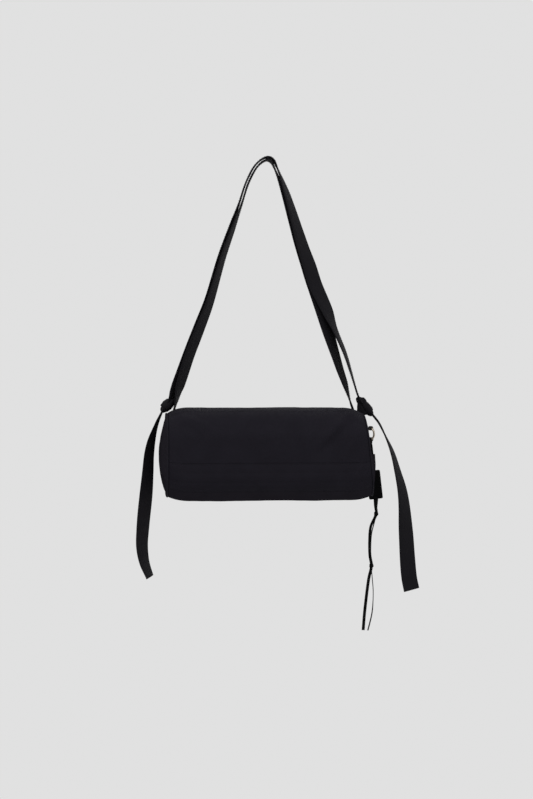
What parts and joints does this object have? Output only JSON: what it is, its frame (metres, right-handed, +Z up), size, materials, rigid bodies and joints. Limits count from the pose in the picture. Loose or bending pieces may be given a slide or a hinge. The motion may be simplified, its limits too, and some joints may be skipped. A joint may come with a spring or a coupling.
{
  "type": "small barrel shoulder bag",
  "caption": "Small black cloth barrel bag with a zipped mouth, two stacked shoulder straps tied at the top corners, hanging tails and a ring charm with a leather tag and lace.",
  "frame": {"origin": "top of the strap's apex, where a hook holds the bag up", "axes": "+Z up, the front of the bag faces -Y, its length lies along X, +X to the right seen from the front"},
  "size_m": [0.4063, 0.1334, 0.6843],
  "materials": {
    "shell_cloth": "satin woven nylon",
    "piping_cloth": "woven nylon",
    "lining_cloth": "plain woven",
    "stiffener": "matt",
    "zip_tape": "woven",
    "zip_coil": "satin",
    "zip_metal": "satin black",
    "strap_cloth": "woven nylon",
    "ring_metal": "satin",
    "leather": "smooth",
    "lace_cord": "flat braid"
  },
  "bodies": {
    "strap": {"sewn_strap": "strap_cloth", "tie_strap": "strap_cloth"},
    "bag": {"front_upper_panel": "shell_cloth", "front_lower_panel": "shell_cloth", "base_panel": "shell_cloth", "back_lower_panel": "shell_cloth", "back_upper_panel": "shell_cloth", "top_end_left": "shell_cloth", "top_end_right": "shell_cloth", "left_end_panel": "shell_cloth", "right_end_panel": "shell_cloth", "left_piping": "piping_cloth", "right_piping": "piping_cloth", "lining": "lining_cloth", "base_board": "stiffener", "inner_pocket": "lining_cloth", "zip_end_left": "zip_tape", "zip_end_right": "zip_tape", "strap_foot_left": "strap_cloth", "strap_foot_right": "strap_cloth", "tie_knot_left": "strap_cloth", "tie_knot_right": "strap_cloth", "ring_loop": "strap_cloth"},
    "mouth_front": {"zip_facing_front": "shell_cloth", "zip_tape_front": "zip_tape", "zip_coil_front": "zip_coil"},
    "mouth_back": {"zip_facing_back": "shell_cloth", "zip_tape_back": "zip_tape", "zip_coil_back": "zip_coil"},
    "slider": {"zip_slider": "zip_metal"},
    "puller": {"zip_puller": "zip_metal"},
    "tail_left": {"tie_tail_left": "strap_cloth"},
    "tail_right": {"tie_tail_right": "strap_cloth"},
    "ring_body": {"ring": "ring_metal"},
    "charm": {"charm_strip": "leather", "tag_front": "leather", "tag_back": "leather"},
    "lace_body": {"lace": "lace_cord"}
  },
  "joints": [
    {"name": "bag_swing", "type": "hinge", "parent": "strap", "child": "bag", "pos_m": [0, 0, -0.334], "axis": [1, 0, 0], "range_deg": [-60, 60]},
    {"name": "mouth_front_open", "type": "hinge", "parent": "bag", "child": "mouth_front", "pos_m": [-0.006, -0.03582, -0.35997], "axis": [1, 0, 0], "range_deg": [0, 70]},
    {"name": "mouth_back_open", "type": "hinge", "parent": "bag", "child": "mouth_back", "pos_m": [-0.006, 0.03582, -0.35997], "axis": [-1, 0, 0], "range_deg": [0, 70]},
    {"name": "zip_slide", "type": "slide", "parent": "bag", "child": "slider", "axis": [1, 0, 0], "range_m": [0, 0.194]},
    {"name": "puller_flip", "type": "hinge", "parent": "slider", "child": "puller", "pos_m": [-0.103, 0, -0.3575], "axis": [0, 1, 0], "range_deg": [0, 165]},
    {"name": "tail_left_swing", "type": "hinge", "parent": "bag", "child": "tail_left", "pos_m": [-0.151, 0, -0.3615], "axis": [0, 1, 0], "range_deg": [0, 80]},
    {"name": "tail_right_swing", "type": "hinge", "parent": "bag", "child": "tail_right", "pos_m": [0.1485, 0, -0.3625], "axis": [0, -1, 0], "range_deg": [0, 80]},
    {"name": "ring_swing", "type": "hinge", "parent": "bag", "child": "ring_body", "pos_m": [0.1563, 0.065, -0.3878], "axis": [0.5, -0.866, 0], "range_deg": [0, 45]},
    {"name": "charm_swing", "type": "hinge", "parent": "ring_body", "child": "charm", "pos_m": [0.1563, 0.065, -0.404], "axis": [0.5, -0.866, 0], "range_deg": [0, 45]},
    {"name": "lace_swing", "type": "hinge", "parent": "charm", "child": "lace_body", "pos_m": [0.1645, 0.066, -0.49], "axis": [0, 1, 0], "range_deg": [0, 24]}
  ]
}
